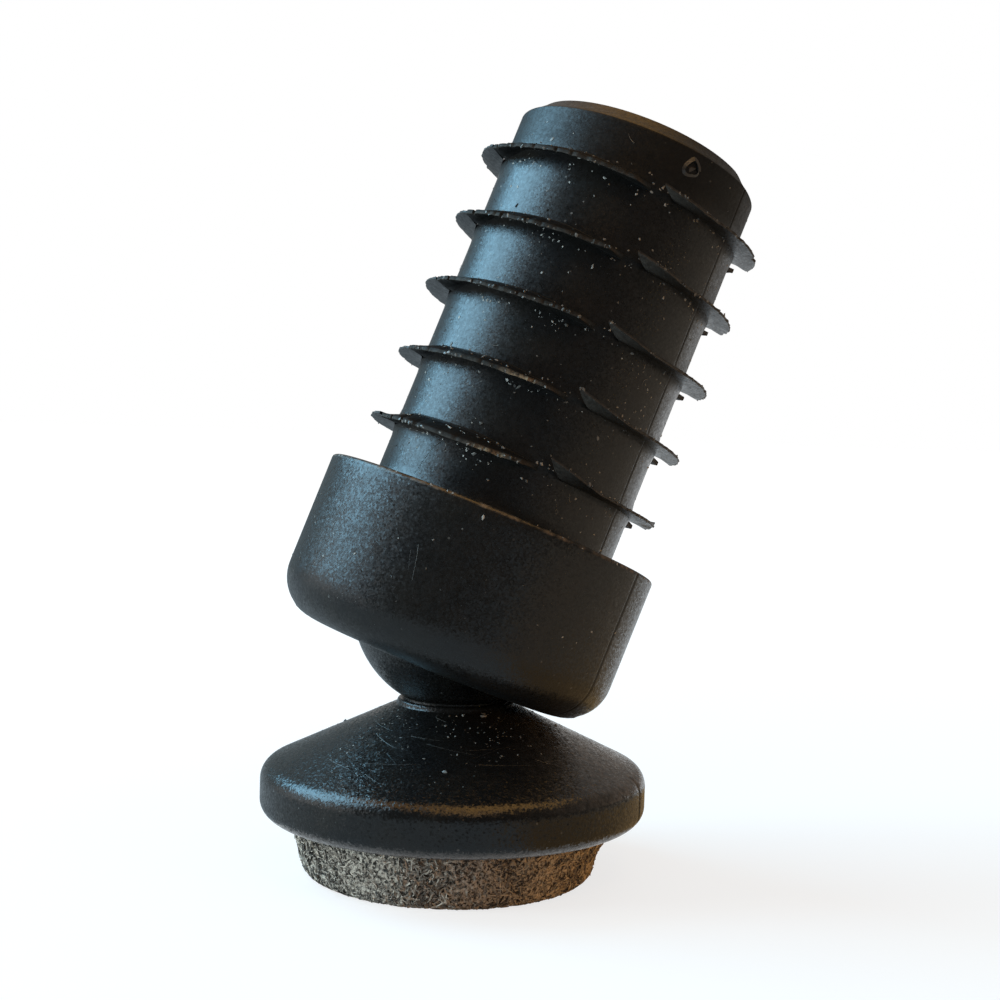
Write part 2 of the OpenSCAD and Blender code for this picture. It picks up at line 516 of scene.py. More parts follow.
def worn_fin(ring, columns, rng):
    """One ring's worn shape: the radius of its edge, how far it bends, and its thickness there."""
    angle, segment, share = columns
    cap = np.where(segment % 2 == 0, 1.0, 0.0)
    fray = FRAY * ripple(angle, rng, *FRAY_WAVES) + FRAY * ripple(angle, rng, *EDGE_WAVES)
    bite = nicks(angle, rng, *SMALL_NICKS) + nicks(angle, rng, *WIDE_NICKS)
    edge = FIN_R + EDGE_OUT[ring] + fray - bite
    edge = edge - CAP_WEAR * cap * bell(share - CAP_WEAR_AT, CAP_WEAR_REACH)
    bend = WAVE * ripple(angle, rng, *BEND_WAVES) + CRUMPLE * ripple(angle, rng, *CRUMPLE_WAVES)
    curl = CURLS[ring] * curl_share(share) ** CURL_POWER
    bend = bend + np.where(segment == RIGHT_CAP, curl, 0.0)
    behind = np.clip((np.abs(round_offset(angle, FACING)) - REAR_FROM) / REAR_REACH, 0, 1)
    bend = bend + REAR_LIFT[ring] * behind - np.where(segment == FRONT, EDGE_DROOP[ring], 0.0)
    if ring == 0:
        burr = BURR_LIFT * bell(share - BURR_SHARE, BURR_WIDTH)
        bend = bend + np.where(segment == RIGHT_CAP, burr, 0.0)
    uneven = 1 + THICK_UNEVEN * ripple(angle, rng, *THICK_WAVES)
    return edge, bend, FIN_EDGE_T * (1 - CAP_THINNER * cap) * uneven


def fin_place(columns, fin, row):
    """Angle, radius and height of each column on a fin's row, which lies on the plug in a slot."""
    edge, bend, thick = fin
    s = row.share
    in_slot = columns.segment < 0
    r = np.where(in_slot, PLUG_R, PLUG_R + s * (edge - PLUG_R))
    turn = fin_angle(columns, np.maximum(r, PLUG_R))
    half = FIN_ROOT_T / 2 + s * (thick - FIN_ROOT_T) / 2
    if s == 1.0:
        half = half * LAST_ROW_SHARE
    middle = fin_height(row.ring)
    rise = ROOT_RISE + np.where(columns.segment == FRONT, front_rise(columns.share), 0.0)
    slot_h = middle + rise + row.side * FIN_ROOT_T / 2 * (1 - SLOT_PINCH * s)
    fin_h = middle + row.side * half + rise * (1 - s) + bend * s ** 2
    return np.stack([turn, r, np.where(in_slot, slot_h, fin_h)], 1)


def wall_place(angle, row_r, row_h):
    """The same on a row of the collar, the plug or the hollows."""
    shown = row_r > OUTSIDE_R and row_h > COLLAR_LOW + 0.5
    r = row_r + seam_relief(angle) if shown else row_r
    return np.stack(np.broadcast_arrays(angle, r, row_h), 1)


def fin_look(columns, row):
    """How worn, scuffed and matt each column is on a fin's row, the scuffs' pale brown also painting a warm
    glint.
    """
    angle, segment, share = columns
    on_fin = segment >= 0
    edge_wear = max(0.0, row.share - WORN_FROM) / (1 - WORN_FROM)
    worn = np.where(on_fin, edge_wear, 0.0) * (1.0 if row.side < 0 else WORN_TOP)
    if row.side < 0 and row.share > CURL_WEAR_FROM:
        worn = np.maximum(worn, CURL_WEAR * np.where(segment == RIGHT_CAP, curl_share(share), 0.0))
    matt = np.where(segment % 2 == 1, 1.0, CAP_MATT) * on_fin * min(1.0, row.share / MATT_SHARE)
    look = {"wear": worn, "matt": matt}
    # Scuffs on the lowest rings, whose pale brown also paints a warm glint on their edges
    if row.ring < SCUFF_GLINT_RINGS:
        look["scuff"] = worn * bell(round_offset(angle, SCUFF_GLINT_ANGLE), SCUFF_GLINT_REACH)
    return look


def wall_look(r, h, rubbed):
    """How worn, scuffed, grained and matt such a row is; the shoulder's scuffs also paint a warm glint."""
    look = {}
    if abs(h - SHOULDER) < SHOULDER_ROUND - 0.02 and r > COLLAR_R - 0.4:
        look["wear"] = RUB_WEAR * rubbed
        # The shoulder's scuffs, whose pale brown also paints a warm glint
        look["scuff"] = RUB_SCUFF_AND_GLINT * rubbed
    if COLLAR_LOW + 0.6 < h < SHOULDER - 0.1 and r > PLUG_R + 1:
        look["grain"] = 1.0
    if r > OUTSIDE_R:
        look["matt"] = TIP_DULL * np.clip((h - fin_height(FIN_COUNT - 1)) / TIP_DULL_RUN, 0, 1)
    return look


def insert_body(parts):
    """Adds the insert's mesh, and returns its fins' lower edges: each point's angle, radius and height."""
    rng = np.random.default_rng(SEED)
    columns = insert_columns()
    fins = [worn_fin(ring, columns, rng) for ring in range(FIN_COUNT)]
    rubbed = np.clip(RUBBED + RUB_UNEVEN * ripple(columns.angle, rng, *RUB_WAVES), 0, 1)
    points, looks, edges = [], [], []
    for row in collar_rows() + plug_rows() + tip_rows():
        if isinstance(row, FinRow):
            place = fin_place(columns, fins[row.ring], row)
            looks.append(fin_look(columns, row))
            if row.share == 1.0 and row.side < 0:
                edges.append(place[columns.segment >= 0])
        else:
            place = wall_place(columns.angle, *row)
            looks.append(wall_look(*row, rubbed))
        points.append(ring_points(*place.T))
    values = {}
    for name in INSERT_LOOKS:
        rows = [np.broadcast_to(look.get(name, 0.0), len(columns.angle)) for look in looks]
        values[name] = np.concatenate(rows + [AT_POLES])
    add_revolve(parts, points, SOCKET_R, CORE_FLOOR, **values)
    return np.concatenate(edges)


# Dust on the insert
FIN_DUST = Crumbs(760, 0.03, 1.5, 0.023, (0.2, 0.9))
EDGE_DUST = Crumbs(430, 0.03, 1.5, 0.024, (0.05, 0.45))
PLUG_DUST = Crumbs(300, 0.03, 1.5, 0.015, (0.2, 0.9))
SHOULDER_DUST = Crumbs(110, 0.03, 1.5, 0.024, (0.3, 1))
COLLAR_DUST = Crumbs(80, 0.03, 1.5, 0.013, (0.2, 0.8))
# Clusters beside the fins, and how far they spread round and along the plug
CLUSTERS = 34
CLUSTER_DUST = Crumbs((5, 16), 0.02, 1.5, 0.018, (0.2, 0.9), inf)
CLUSTER_TURN = 0.07
CLUSTER_SPREAD = 0.6
# Crumbs on top of each ring's front fins, and the stretch and the shares of the width where they lie
TOP_DUST = Crumbs((34, 18, 12, 8, 8), 0.03, 1.6, 0.03, (0.2, 1))
TOP_STRETCH = (radians(240), radians(292))
TOP_WIDTH = (0.1, 0.75)
CRUMB_SINK = 0.03
HAIRS = 16
HAIR_POINTS = 6
HAIR_THICK = 0.02


def on_insert(angle, r, h):
    """A place on the insert's relieved surface and the outward direction there."""
    out = outward(angle)
    return (r + seam_relief(angle)) * out + h * UP, out


def beside_fin(rng):
    away = FIN_ROOT_T / 2 + rng.exponential(0.3)
    return fin_height(rng.integers(FIN_COUNT)) + rng.choice((-1, 1)) * away


def along_plug(rng):
    return rng.uniform(SHOULDER, TIP - TIP_CHAMFER)


def at_shoulder(rng):
    return SHOULDER - SHOULDER_ROUND * rng.uniform(0.2, 1.2)


def along_collar(rng):
    return rng.uniform(COLLAR_LOW + COLLAR_ROUND, SHOULDER - 0.5)


def scatter(parts, rng, kind, r, height):
    """Crumbs all round the insert at radius r, each at a height that height draws."""
    for _ in range(kind.count):
        add_crumb(parts, rng, on_insert(rng.uniform(0, TURN), r, height(rng)), kind)


def edge_dust(parts, rng, edges):
    for angle, r, h in edges[rng.integers(len(edges), size=EDGE_DUST.count)]:
        out = outward(angle)
        spot = (r - 0.01) * out + (h + rng.uniform(0, 0.15)) * UP
        add_crumb(parts, rng, (spot, out), EDGE_DUST)


def cluster_dust(parts, rng):
    for _ in range(CLUSTERS):
        middle, height = rng.uniform(0, TURN), beside_fin(rng)
        for _ in range(rng.integers(*CLUSTER_DUST.count)):
            angle = middle + rng.normal(0, CLUSTER_TURN)
            place = on_insert(angle, PLUG_R, height + rng.normal(0, CLUSTER_SPREAD))
            add_crumb(parts, rng, place, CLUSTER_DUST)


def top_dust(parts, rng):
    front_middle, side_end = FRONT * pi / 2 + SLOT_TURN, segment_ends(PLUG_R)[1]
    for ring, count in enumerate(TOP_DUST.count):
        for _ in range(count):
            angle, across = rng.uniform(*TOP_STRETCH), rng.uniform(*TOP_WIDTH)
            rise = ROOT_RISE + front_rise(round_offset(angle, front_middle) / side_end)
            top = fin_height(ring) + FIN_ROOT_T / 2 + rise * (1 - across)
            r = PLUG_R + across * (FIN_R - PLUG_R)
            spot = r * outward(angle) + (top - CRUMB_SINK) * UP
            add_crumb(parts, rng, (spot, UP), TOP_DUST)


def insert_hair(parts, rng):
    angle, h = rng.uniform(0, TURN), rng.uniform(SHOULDER + 0.5, TIP - 2)
    way, bend = rng.uniform(0, TURN), rng.normal(0, 0.5)
    spine = []
    for _ in range(HAIR_POINTS):
        spot, out = on_insert(angle, PLUG_R + HAIR_THICK, h)
        spine.append(spot)
        step = rng.uniform(0.08, 0.2)
        angle += step * cos(way) / PLUG_R
        h += step * sin(way)
        way += bend
    add_thread(parts, spine, out, HAIR_THICK, dust=rng.uniform(0.2, 0.6))


def insert_dust(parts, edges):
    rng = np.random.default_rng(SEED + 3)
    scatter(parts, rng, FIN_DUST, PLUG_R, beside_fin)
    edge_dust(parts, rng, edges)
    scatter(parts, rng, PLUG_DUST, PLUG_R, along_plug)
    scatter(parts, rng, SHOULDER_DUST, COLLAR_R - 0.06, at_shoulder)
    scatter(parts, rng, COLLAR_DUST, COLLAR_LOW_R + 0.02, along_collar)
    cluster_dust(parts, rng)
    top_dust(parts, rng)
    for _ in range(HAIRS):
        insert_hair(parts, rng)


# Blemishes that the photograph shows, at degrees round the insert and heights. Two dents, a flow mark and
# two scratches are threads, with the radius where each lies, its places, its thickness and its dust; the
# flow mark's pale tone is a painted highlight.
MARKS = (
    (PLUG_R, ((250.7, 27.1), (250.9, 27.25), (251.1, 27.4)), 0.09, 0.0),
    (PLUG_R, ((268.0, 27.2), (268.2, 27.3), (268.4, 27.4)), 0.07, 0.0),
    # The flow mark's pale tone is a painted highlight
    (PLUG_R, ((262.0, 9.8), (259.9, 9.4), (258.3, 8.8), (256.6, 8.0), (255.2, 7.2)), 0.035, 0.2),
    (COLLAR_LOW_R, ((279.2, 2.7), (280.2, 1.9), (281.6, 0.4)), 0.05, 0.2),
    (COLLAR_LOW_R, ((277.6, 2.2), (278.6, 1.4), (279.6, 0.7)), 0.04, 0.15),
)
# The crater near the tip, the grain in it, and a white speck at the shoulder
CRATER_DEGREES, CRATER_HEIGHT = 320.2, 33.7
CRATER_HALF_WIDTH, CRATER_HALF_HEIGHT = 3.0, 0.62
CRATER_THICK, CRATER_DUST = 0.21, 0.08
GRAIN_HEIGHT, GRAIN_SIZE, GRAIN_SCUFF = 33.6, 0.2, 0.1
SPECK_DEGREES, SPECK_HEIGHT, SPECK_SIZE = 294.3, 5.9, 0.13


def crater_rim():
    """Places round the crater's uneven rim, which is narrower at the top."""
    turn = np.linspace(0, TURN, 29)
    uneven = 1 + 0.1 * np.sin(2 * turn + 1) + 0.08 * np.sin(3 * turn + 2)
    wide = CRATER_HALF_WIDTH * uneven * (1 - 0.35 * np.sin(turn))
    tall = CRATER_HALF_HEIGHT * uneven
    rim = zip(wide, tall, turn)
    return [(CRATER_DEGREES + w * cos(t), CRATER_HEIGHT + s * sin(t)) for w, s, t in rim]


def add_mark(parts, r, places, thick, dust):
    spots = [on_insert(radians(way), r, h) for way, h in places]
    add_thread(parts, [spot for spot, _ in spots], spots[0][1], thick, dust=dust)


def insert_marks(parts):
    rng = np.random.default_rng(SEED + 5)
    add_mark(parts, PLUG_R, crater_rim(), CRATER_THICK, CRATER_DUST)
    spot, out = on_insert(radians(CRATER_DEGREES), PLUG_R, GRAIN_HEIGHT)
    add_grain(parts, rng, spot, out, GRAIN_SIZE, scuff=GRAIN_SCUFF)
    for mark in MARKS:
        add_mark(parts, *mark)
    spot, out = on_insert(radians(SPECK_DEGREES), COLLAR_R, SPECK_HEIGHT)
    add_grain(parts, rng, spot, out, SPECK_SIZE, dust=1.0)


def tube_insert():
    parts = Parts(*INSERT_LOOKS, "dust")
    edges = insert_body(parts)
    insert_dust(parts, edges)
    insert_marks(parts)
    return make_object("tube_insert_body", parts, insert_frame)


# Glide base: the bead round its neck, with its middle and its foot as shares of its radius
LIP_R = 0.24
LIP_SHARE = 1.1
LIP_FOOT_SHARE = 1.35
# The side of the cone that a layer of dust covers, which also paints a sheen there
FILM_SHEEN_ANGLE = radians(-8)
FILM_SHEEN_REACH = radians(32)
FILM_SHEEN_GAIN = 1.7
BASE_COLUMNS = 288
BASE_SEAM = radians(-18)
BASE_SEAM_WIDTH = radians(0.7)
BASE_SEAM_DEPTH = 0.1
# Dust over the cone, and where it has gathered: degrees round it, their spread, and the radius
CONE_DUST = Crumbs(280, 0.02, 1.4, 0.016, (0.15, 0.6), inf)
DUST_FROM = NECK_R + 0.6
DUST_REACH = BASE_R - RIM_ROUND - NECK_R - 0.6
GATHERED_DUST = Crumbs(46, 0.025, 1.5, 0.017, (0.15, 0.8), LARGEST_CRUMB / 2)
GATHERED = ((217, 8, 7.3), (300, 10, 6.6), (120, 9, 7.0))
GATHERED_WIDTH = 1.6
# Scratches round the cone, with ranges for their steps, thickness and dust
SCRATCHES = 44
SCRATCH_POINTS = 7
SCRATCH_STEP = (0.02, 0.09)
SCRATCH_THICK = (0.007, 0.014)
SCRATCH_DUST = (0.04, 0.24)


def cone_height(r):
    return CONE_FOOT + (BASE_R - r) * tan(CONE_ANGLE)


def base_rows():
    """Half section of the base, from the top of the ball down and round to the recess."""
    round_z = CONE_FOOT + RIM_ROUND * tan(CONE_ANGLE) - RIM_ROUND / cos(CONE_ANGLE)
    neck_angle = -degrees(acos(NECK_R / BALL_R))
    slope = degrees(pi / 2 - CONE_ANGLE)
    top = arc(BASE_R - RIM_ROUND, round_z, RIM_ROUND, slope, 0, 14)
    lip_r = NECK_R + LIP_SHARE * LIP_R
    foot_r = lip_r + LIP_FOOT_SHARE * LIP_R
    rows = arc(0, ball_z, BALL_R, 89, neck_angle, 56)
    rows += [(NECK_R, NECK_LOW + NECK_H / 2)]
    rows += arc(lip_r, cone_height(lip_r), LIP_R, 150, 0, 10)
    rows += line((foot_r, cone_height(foot_r)), top[0], 26)
    rows += top
    rows += line((BASE_R, round_z), (BASE_R, RIM_LOW + RIM_LOW_ROUND), 5)[1:]
    rows += arc(BASE_R - RIM_LOW_ROUND, RIM_LOW + RIM_LOW_ROUND, RIM_LOW_ROUND, 0, -90, 10)
    rows += line((BASE_R - RIM_LOW_ROUND - 2 * EASED, RIM_LOW), (RECESS_R, RIM_LOW), 3)
    rows += [(RECESS_R, RIM_LOW + EASED), (RECESS_R, FELT_T - EASED), (RECESS_R - 2 * EASED, FELT_T)]
    return rows + line((RECESS_R - 1, FELT_T), (0, FELT_T), 4)


def base_columns():
    """Angles round the base, closer together at its two seams."""
    even = np.linspace(-pi, pi, BASE_COLUMNS, endpoint=False)
    near = np.linspace(-1.5, 1.5, 9) * BASE_SEAM_WIDTH
    return np.unique(np.concatenate([even, BASE_SEAM + near, BASE_SEAM + pi + near]))


def on_cone(angle, r):
    """A place on the cone and the outward direction there."""
    h = cone_height(min(r, BASE_R - RIM_ROUND))
    out = sin(CONE_ANGLE) * outward(angle) + cos(CONE_ANGLE) * UP
    return r * outward(angle) + h * UP, out


def cone_dust(parts, rng):
    """Crumbs on the cone, thickest near the neck and where they have gathered."""
    for _ in range(CONE_DUST.count):
        r = DUST_FROM + DUST_REACH * rng.beta(1.0, 1.5)
        add_crumb(parts, rng, on_cone(rng.uniform(0, TURN), r), CONE_DUST)
    for middle, spread, r_middle in GATHERED:
        for _ in range(GATHERED_DUST.count):
            r = np.clip(rng.normal(r_middle, GATHERED_WIDTH), DUST_FROM, BASE_R - RIM_ROUND)
            place = on_cone(radians(rng.normal(middle, spread)), r)
            add_crumb(parts, rng, place, GATHERED_DUST)


def cone_scratches(parts, rng):
    for _ in range(SCRATCHES):
        angle, r = rng.uniform(0, TURN), NECK_R + 1 + DUST_REACH * rng.uniform(0, 0.85)
        turn, drift = rng.uniform(*SCRATCH_STEP), rng.normal(0, 0.12)
        spine = []
        for _ in range(SCRATCH_POINTS):
            spot, out = on_cone(angle, r)
            spine.append(spot)
            angle += turn
            r = min(r + drift, BASE_R - RIM_ROUND)
        add_thread(parts, spine, out, rng.uniform(*SCRATCH_THICK), dust=rng.uniform(*SCRATCH_DUST))


def base_body(parts):
    theta = base_columns()
    seam = round_offset(2 * theta, 2 * BASE_SEAM) / 2
    groove = BASE_SEAM_DEPTH * bell(seam, BASE_SEAM_WIDTH)
    near = bell(round_offset(theta, FILM_SHEEN_ANGLE), FILM_SHEEN_REACH)
    points, film = [], []
    for r, h in base_rows():
        is_cone = CONE_FOOT - 0.5 < h < NECK_LOW
        # Dust on the cone's right, which also paints a sheen there, strongest towards the rim
        film.append(near * is_cone * np.clip(FILM_SHEEN_GAIN * (r - NECK_R) / (BASE_R - NECK_R), 0, 1))
        is_rim = r > BASE_R - 1 and h > RIM_LOW
        points.append(ring_points(theta, r - groove * is_rim, h))
    film = np.concatenate(film + [AT_POLES])
    add_revolve(parts, points, ball_z + BALL_R, FELT_T, downwards=True, film=film)


def glide_base():
    parts = Parts("film", "dust")
    base_body(parts)
    rng = np.random.default_rng(SEED + 4)
    cone_dust(parts, rng)
    cone_scratches(parts, rng)
    return make_object("glide_base_body", parts, base_frame)


# Felt pad: the radius of its first and last rows, and how far in its flat faces start
FELT_COLUMNS = 420
FELT_HUB_R = 0.6
FELT_INSET = 0.3
# How far the felt bulges out under the left of the rim, and lower down at the right
FELT_BULGE = 0.5
FELT_BULGE_RUN = 0.4
RIGHT_BULGE = 0.4
RIGHT_BULGE_Z = 3.2
RIGHT_BULGE_REACH = 0.7
# How rough its side is, how far it swells and in what waves, and how deep it lies under its fibres
FELT_ROUGH = 0.05
FELT_SWELL = 0.06
FELT_WAVES = (3, 24, 0.5)
FELT_SUNK = 0.08
# Loose fibres, with ranges for their length and thickness, and the heights between which they stay
FELT_FIBRES = 5400
FIBRE_POINTS = 5
FIBRE_LENGTH = (0.4, 1.0)
FIBRE_THICK = (0.035, 0.08)
FIBRE_CURL = 0.7
FIBRE_CURL_STEP = 0.4
FIBRE_STRAY = 0.03
FIBRE_SINK = 0.05
FIBRE_SPAN = (0.05, RIM_LOW + 0.3)


def felt_side(z):
    """Radius of the felt's worn side at height z: a round lower edge and a taper that touches it."""
    edge_r = FELT_R - FELT_TAPER - FELT_ROUND
    run, rise = FELT_R - edge_r, RIM_LOW - FELT_ROUND
    touch = atan2(rise, run) - acos(FELT_ROUND / hypot(run, rise))
    touch_r, touch_z = edge_r + FELT_ROUND * cos(touch), FELT_ROUND + FELT_ROUND * sin(touch)
    if z < touch_z:
        return edge_r + sqrt(max(FELT_ROUND ** 2 - (FELT_ROUND - z) ** 2, 0.0))
    share = min((z - touch_z) / (RIM_LOW - touch_z), 1.0)
    return touch_r + share * (FELT_R - touch_r)


def felt_bulge(angle, z):
    """How far the felt stands out below the rim, most at its left."""
    below = np.clip((RIM_LOW - z) / FELT_BULGE_RUN, 0, 1)
    left = FELT_BULGE * (0.5 - 0.5 * np.cos(angle)) ** 2 * below
    near = bell(z - RIGHT_BULGE_Z, RIGHT_BULGE_REACH)
    return left + RIGHT_BULGE * (0.5 + 0.5 * np.cos(angle)) ** 3 * near


def felt_body(parts):
    rng = np.random.default_rng(SEED + 1)
    theta = np.linspace(0, TURN, FELT_COLUMNS, endpoint=False)
    swell = FELT_SWELL * ripple(theta, rng, *FELT_WAVES)
    top = line((FELT_HUB_R, FELT_T), (FELT_R - FELT_INSET, FELT_T), 5) + [(FELT_R, FELT_T - 2 * EASED)]
    taper = np.linspace(RIM_LOW, FELT_ROUND, 18)
    edge = FELT_ROUND * (1 - np.sin(np.linspace(0.1, pi / 2, 10)))
    bottom = line((felt_side(0) - FELT_INSET, 0), (FELT_HUB_R, 0), 16)
    points = [ring_points(theta, r, h) for r, h in top]
    for z in [*taper, *edge]:
        r = felt_side(z) + FELT_ROUGH * rng.normal(size=FELT_COLUMNS) + swell - FELT_SUNK
        h = np.maximum(z + FELT_ROUGH * rng.normal(size=FELT_COLUMNS), 0.0)
        points.append(ring_points(theta, r + felt_bulge(theta, z), h))
    points += [ring_points(theta, r, h) for r, h in bottom]
    add_revolve(parts, points, FELT_T, 0, downwards=True, tone=0.5)


def felt_fibre(rng):
    """The spine of a fibre, which lies along the felt's side and strays outwards, and its outward way."""
    a = rng.uniform(0, TURN)
    z = RIM_LOW * rng.uniform(0, 1) ** 1.1
    out = outward(a)
    along = np.array([-sin(a), cos(a), 0])
    tilt = rng.uniform(-pi, pi)
    way = along * cos(tilt) + UP * sin(tilt)
    curl = rng.normal(0, FIBRE_CURL, 3)
    stray = rng.gamma(1.0, FIBRE_STRAY)
    length = rng.uniform(*FIBRE_LENGTH)
    last = FIBRE_POINTS - 1
    spot = felt_side(z) * out + UP * z
    spine = []
    for k in range(FIBRE_POINTS):
        spot[2] = np.clip(spot[2], *FIBRE_SPAN)
        lift = stray * k / last - FIBRE_SINK
        bulge = felt_bulge(atan2(spot[1], spot[0]), spot[2])
        spot[:2] *= (felt_side(spot[2]) + bulge + lift) / np.linalg.norm(spot[:2])
        spine.append(spot.copy())
        way = way / np.linalg.norm(way)
        spot = spot + way * length / last
        way = way + np.cross(curl, way) * FIBRE_CURL_STEP
    return spine, out


def felt_pad():
    parts = Parts("tone", "fibre")
    felt_body(parts)
    rng = np.random.default_rng(SEED + 2)
    for _ in range(FELT_FIBRES):
        spine, out = felt_fibre(rng)
        add_thread(parts, spine, out, rng.uniform(*FIBRE_THICK), tone=rng.uniform(), fibre=1.0)
    return make_object("felt_pad_body", parts, base_frame)


# Materials
class Nodes:
    """A short way to write a node tree, with numbers or sockets as inputs."""

    def __init__(self, tree):
        self.tree = tree

    def add(self, kind, values=None, **settings):
        node = self.tree.nodes.new("ShaderNode" + kind)
        for key, value in settings.items():
            setattr(node, key, value)
        self.set(node, values or {})
        return node

    def set(self, node, values):
        for key, value in values.items():
            if isinstance(value, bpy.types.NodeSocket):
                self.tree.links.new(value, node.inputs[key])
            else:
                node.inputs[key].default_value = value

    def math(self, operation, a, b=0.0):
        return self.add("Math", {0: a, 1: b}, operation=operation).outputs[0]

    def vector(self, operation, a, b=None, c=None, scale=None):
        given = {0: a, 1: b, 2: c, "Scale": scale}
        values = {key: value for key, value in given.items() if value is not None}
        return self.add("VectorMath", values, operation=operation).outputs[0]

    def ramp(self, value, low, high, first=0.0, last=1.0):
        ends = {"From Min": low, "From Max": high, "To Min": first, "To Max": last}
        return self.add("MapRange", {"Value": value, **ends}).outputs[0]

    def mix(self, share, a, b):
        return self.add("Mix", {0: share, 6: a, 7: b}, data_type="RGBA").outputs[2]

    def noise(self, coords, scale, detail=3.0, roughness=0.55):
        values = {"Vector": coords, "Scale": scale, "Detail": detail, "Roughness": roughness}
        return self.add("TexNoise", values).outputs[0]

    def cells(self, coords, scale):
        values = {"Vector": coords, "Scale": scale, "Randomness": 1.0}
        return self.add("TexVoronoi", values).outputs

    def attribute(self, name):
        return self.add("Attribute", attribute_name=name).outputs["Fac"]

    def coords(self):
        """Object coordinates in millimetres."""
        return self.vector("SCALE", self.add("TexCoord").outputs["Object"], scale=1 / MM)

    def facets(self, coords, scale, tilt, sparkle=0.0):
        """The normal, tilted from cell to cell as on a spark-eroded mould. A sparkle tilts a few further."""
        turn = self.vector("SUBTRACT", self.cells(coords, scale)["Color"], (0.5, 0.5, 0.5))
        share = self.vector("SCALE", turn, scale=tilt)
        total = self.vector("ADD", share, self.add("NewGeometry").outputs["Normal"])
        if sparkle:
            cube = self.vector("MULTIPLY", self.vector("MULTIPLY", turn, turn), turn)
            total = self.vector("ADD", total, self.vector("SCALE", cube, scale=sparkle))
        return self.vector("NORMALIZE", total)

    def specks(self, coords, scale, size, share):
        """Fine specks with ragged outlines: cells of a Voronoi pattern, of which a share holds one."""
        ragged = self.add("TexNoise", {"Vector": coords, "Scale": 3 * scale, "Detail": 2.0})
        stray = 0.3 / scale
        strayed = self.vector("MULTIPLY_ADD", ragged.outputs["Color"], (stray, stray, stray), coords)
        cells = self.cells(strayed, scale)
        pick = self.add("SeparateColor", {0: cells["Color"]})
        reach = self.math("MULTIPLY", self.math("POWER", pick.outputs[1], 1.6), size)
        near = self.math("LESS_THAN", cells["Distance"], reach)
        keep = self.math("LESS_THAN", pick.outputs[0], share)
        return self.math("MULTIPLY", near, keep)


def new_material(name):
    material = bpy.data.materials.new(name)
    material.use_nodes = True
    return material, Nodes(material.node_tree), material.node_tree.nodes["Principled BSDF"]


WHITE = (1, 1, 1, 1)
BLACK = (0.0042, 0.0044, 0.0046, 1)
BROWN_BLACK = (0.0075, 0.0064, 0.0052, 1)
HAZE = (0.035, 0.031, 0.027, 1)
WORN_EDGE = (0.05, 0.043, 0.037, 1)
# The scuffs' pale brown, which also paints a warm glint on the lowest fins' edges and on the shoulder
SCUFF_AND_WARM_GLINT = (0.26, 0.175, 0.105, 1)
DUST = (0.34, 0.325, 0.30, 1)
FINE_DUST = (0.10, 0.096, 0.09, 1)
# Pale grey for the dust on the cone's right, which also paints a sheen there
FILM_AND_SHEEN = (0.15, 0.14, 0.135, 1)
# Roughness of the two plastics, and the depth of their bump in metres
INSERT_SHINE = 0.3
BASE_SHINE = 0.205
GRAIN_DEPTH = 0.00006


def plastic_ground(n, mm, shine):
    """Colour and roughness of clean black plastic, with faint brown patches and a thin haze."""
    patch = n.noise(mm, 0.3, 4)
    smear = n.noise(mm, 1.3, 6, 0.7)
    colour = n.mix(n.ramp(patch, 0.35, 0.7), BLACK, BROWN_BLACK)
    colour = n.mix(n.ramp(smear, 0.6, 0.85, 0, 0.25), colour, HAZE)
    drift = n.ramp(n.noise(mm, 0.16, 2), 0.42, 0.62)
    fine = n.math("MULTIPLY", n.specks(mm, 2.4, 0.22, 0.22), drift)
    colour = n.mix(fine, colour, FINE_DUST)
    rough = n.ramp(smear, 0.3, 0.75, shine, shine + 0.1)
    mottle = n.ramp(n.noise(mm, 4.0, 3, 0.65), 0.3, 0.7, -0.09, 0.09)
    return colour, n.math("ADD", rough, mottle)


def finish_plastic(n, shader, colour, rough, height, normal):
    """Gives the crumbs their dust colour and roughness, and links the plastic's looks to its shader."""
    dust = n.attribute("dust")
    bump = n.add("Bump", {"Strength": 0.5, "Distance": GRAIN_DEPTH, "Height": height, "Normal": normal})
    n.set(shader, {"Base Color": n.mix(dust, colour, DUST), "Normal": bump.outputs[0]})
    n.set(shader, {"Roughness": n.math("MAXIMUM", rough, dust)})


def insert_plastic():
    """Satin black plastic, spark-eroded on the collar, with pale worn fin edges and pale brown scuffs that
    also paint a warm glint.
    """
    material, n, shader = new_material("insert_plastic")
    mm = n.coords()
    colour, rough = plastic_ground(n, mm, INSERT_SHINE)
    wear, scuff = n.attribute("wear"), n.attribute("scuff")
    ragged = n.noise(mm, 3.0, 4, 0.7)
    pale = n.math("MULTIPLY", wear, n.ramp(ragged, 0.3, 0.7, 0.25, 1.0))
    colour = n.mix(pale, colour, WORN_EDGE)
    # Scuffs in pale brown, which also paint a warm glint
    colour = n.mix(n.math("MULTIPLY", scuff, n.ramp(ragged, 0.35, 0.6)), colour, SCUFF_AND_WARM_GLINT)
    matt = n.attribute("matt")
    rough = n.math("ADD", rough, n.math("MULTIPLY", n.math("MAXIMUM", wear, matt), 0.25))
    n.set(shader, {"Specular IOR Level": n.ramp(matt, 0, 1, 0.5, 0.06)})
    satin = n.math("MULTIPLY", n.noise(mm, 6.0, 2), 0.3)
    eroded = n.facets(mm, 7.5, n.ramp(n.attribute("grain"), 0, 1, 0.09, 0.16))
    finish_plastic(n, shader, colour, rough, satin, eroded)
    return material


